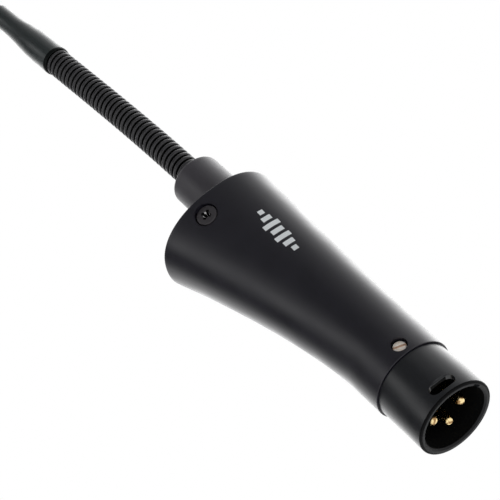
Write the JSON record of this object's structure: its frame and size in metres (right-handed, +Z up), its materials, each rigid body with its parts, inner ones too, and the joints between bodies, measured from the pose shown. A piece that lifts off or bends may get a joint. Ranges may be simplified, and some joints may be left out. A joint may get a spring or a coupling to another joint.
{
  "type": "gooseneck podium microphone",
  "caption": "Slim condenser microphone on a two-section gooseneck with an in-line preamplifier housing that flares to one side and a male 3-pin plug at its foot.",
  "frame": {"origin": "centre of the mouth of the plug shell", "axes": "+Z up along the plug towards the capsule, -Y the front with the latch window, -X the side the housing flares to"},
  "size_m": [0.0327, 0.0294, 0.3416],
  "materials": {
    "plug_shell": "satin black coating on zinc",
    "carrier_plastic": "black moulded insulator",
    "gold": "gold-plated",
    "nickel": "nickel-plated",
    "housing": "satin black coating",
    "screw_black": "black oxide",
    "collar": "matt black coating",
    "board": "green solder mask",
    "component": "sleeved and wound components",
    "lead": "insulated wire",
    "coil": "black spring coil",
    "sleeve": "black shrink sleeve",
    "stem": "satin black tube",
    "capsule_shell": "satin black",
    "mesh": "fine woven mesh",
    "rubber": "black rubber",
    "foam": "open-cell foam"
  },
  "bodies": {
    "base": {"plug_shell": "plug_shell", "contact_carrier": "carrier_plastic", "contact_pin_1": "gold", "contact_pin_2": "gold", "contact_pin_3": "gold", "carrier_screw": "nickel", "preamp_housing": "housing", "end_cap": "housing", "cap_screw_front": "screw_black", "cap_screw_rear": "screw_black", "neck_collar": "collar", "neck_nut": "nickel", "preamp_board": "board", "preamp_chip": "carrier_plastic", "output_capacitor_1": "component", "output_capacitor_2": "component", "rf_choke_1": "component", "rf_choke_2": "component", "pin_lead_1": "lead", "pin_lead_2": "lead", "pin_lead_3": "lead", "neck_lead": "lead", "lower_coil_0": "coil"},
    "lower_link_1": {"lower_coil_1": "coil"},
    "lower_link_2": {"lower_coil_2": "coil"},
    "lower_link_3": {"lower_coil_3": "coil"},
    "lower_link_4": {"lower_coil_4": "coil"},
    "lower_link_5": {"lower_coil_5": "coil"},
    "stem": {"lower_coil_6": "coil", "neck_sleeve": "sleeve", "stem_tube": "stem", "stem_ferrule": "collar", "stem_lead": "lead", "upper_coil_0": "coil"},
    "upper_link_1": {"upper_coil_1": "coil"},
    "upper_link_2": {"upper_coil_2": "coil"},
    "upper_link_3": {"upper_coil_3": "coil"},
    "upper_link_4": {"upper_coil_4": "coil"},
    "upper_link_5": {"upper_coil_5": "coil"},
    "head": {"upper_coil_6": "coil", "capsule_housing": "capsule_shell", "capsule_lead": "lead", "capsule_board": "board", "capsule_element": "nickel", "capsule_gasket": "rubber", "grille_mesh": "mesh", "capsule_grille": "capsule_shell"},
    "windscreen": {"windscreen": "foam"}
  },
  "joints": [
    {"name": "lower_nod_1", "type": "hinge", "parent": "base", "child": "lower_link_1", "pos_m": [0.00046, 0, 0.10278], "axis": [1, 0, 0], "range_deg": [-25, 25]},
    {"name": "lower_lean_1", "type": "hinge", "parent": "lower_link_1", "child": "lower_link_2", "pos_m": [0.00033, 0, 0.11312], "axis": [0, 1, 0], "range_deg": [-25, 25]},
    {"name": "lower_nod_2", "type": "hinge", "parent": "lower_link_2", "child": "lower_link_3", "pos_m": [0.00008, 0, 0.12347], "axis": [0.9997, 0, 0.0244], "range_deg": [-25, 25]},
    {"name": "lower_lean_2", "type": "hinge", "parent": "lower_link_3", "child": "lower_link_4", "pos_m": [-0.00028, 0, 0.13381], "axis": [0, 1, 0], "range_deg": [-25, 25]},
    {"name": "lower_nod_3", "type": "hinge", "parent": "lower_link_4", "child": "lower_link_5", "pos_m": [-0.00072, 0, 0.14416], "axis": [0.9991, 0, 0.0427], "range_deg": [-25, 25]},
    {"name": "lower_lean_3", "type": "hinge", "parent": "lower_link_5", "child": "stem", "pos_m": [-0.00121, 0, 0.15449], "axis": [0, 1, 0], "range_deg": [-25, 25]},
    {"name": "upper_nod_1", "type": "hinge", "parent": "stem", "child": "upper_link_1", "pos_m": [-0.00554, 0, 0.24624], "axis": [0.9989, 0, 0.0471], "range_deg": [-25, 25]},
    {"name": "upper_lean_1", "type": "hinge", "parent": "upper_link_1", "child": "upper_link_2", "pos_m": [-0.00598, 0, 0.25573], "axis": [0, 1, 0], "range_deg": [-25, 25]},
    {"name": "upper_nod_2", "type": "hinge", "parent": "upper_link_2", "child": "upper_link_3", "pos_m": [-0.00643, 0, 0.26522], "axis": [0.9989, 0, 0.0471], "range_deg": [-25, 25]},
    {"name": "upper_lean_2", "type": "hinge", "parent": "upper_link_3", "child": "upper_link_4", "pos_m": [-0.00688, 0, 0.27471], "axis": [0, 1, 0], "range_deg": [-25, 25]},
    {"name": "upper_nod_3", "type": "hinge", "parent": "upper_link_4", "child": "upper_link_5", "pos_m": [-0.00733, 0, 0.2842], "axis": [0.9989, 0, 0.0471], "range_deg": [-25, 25]},
    {"name": "upper_lean_3", "type": "hinge", "parent": "upper_link_5", "child": "head", "pos_m": [-0.00777, 0, 0.29369], "axis": [0, 1, 0], "range_deg": [-25, 25]},
    {"name": "windscreen_pull", "type": "slide", "parent": "head", "child": "windscreen", "axis": [-0.0471, 0, 0.9989], "range_m": [0, 0.035]}
  ],
  "couplings": [
    {"joint": "lower_nod_2", "follows": "lower_nod_1", "ratio": 1},
    {"joint": "lower_lean_2", "follows": "lower_lean_1", "ratio": 1},
    {"joint": "lower_nod_3", "follows": "lower_nod_1", "ratio": 1},
    {"joint": "lower_lean_3", "follows": "lower_lean_1", "ratio": 1},
    {"joint": "upper_nod_2", "follows": "upper_nod_1", "ratio": 1},
    {"joint": "upper_lean_2", "follows": "upper_lean_1", "ratio": 1},
    {"joint": "upper_nod_3", "follows": "upper_nod_1", "ratio": 1},
    {"joint": "upper_lean_3", "follows": "upper_lean_1", "ratio": 1}
  ]
}
